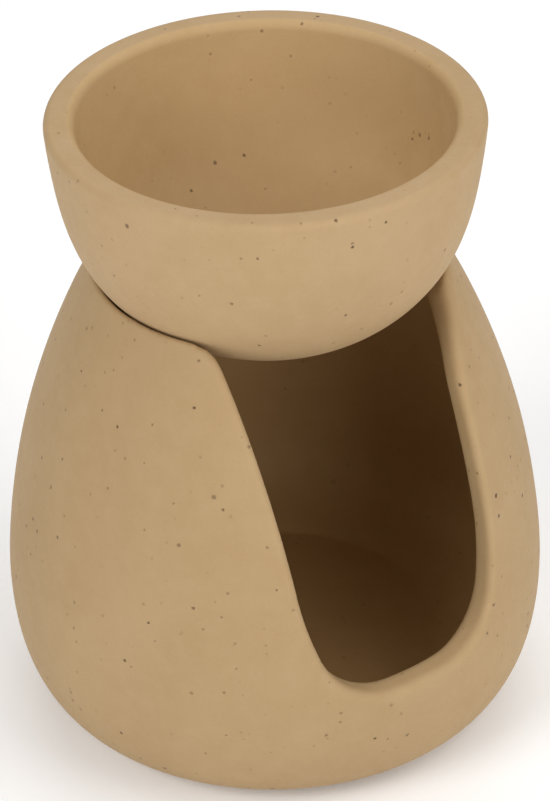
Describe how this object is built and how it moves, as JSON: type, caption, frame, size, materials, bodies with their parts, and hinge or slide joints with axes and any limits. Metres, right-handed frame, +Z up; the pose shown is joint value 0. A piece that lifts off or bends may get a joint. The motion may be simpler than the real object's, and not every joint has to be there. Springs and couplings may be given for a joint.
{
  "type": "oil burner",
  "caption": "Ceramic essential oil burner: a loose round oil bowl resting in the rim of a hollow egg-shaped base, with a U-shaped front opening for a tealight.",
  "frame": {"origin": "on the table, on the vertical axis of the base and bowl", "axes": "+Z up; -Y points out of the front opening; +X to the right of someone who looks into the opening along +Y"},
  "size_m": [0.1, 0.1, 0.122],
  "materials": {
    "base_stoneware": "matte speckled tan stoneware",
    "bowl_stoneware": "matte speckled tan stoneware",
    "pad_rubber": "soft translucent grey rubber"
  },
  "bodies": {
    "base": {"burner_base": "base_stoneware", "foot_pads": "pad_rubber"},
    "bowl": {"oil_bowl": "bowl_stoneware"}
  },
  "joints": [
    {"name": "bowl_lift", "type": "slide", "parent": "base", "child": "bowl", "axis": [0, 0, 1], "range_m": [0, 0.05]}
  ]
}
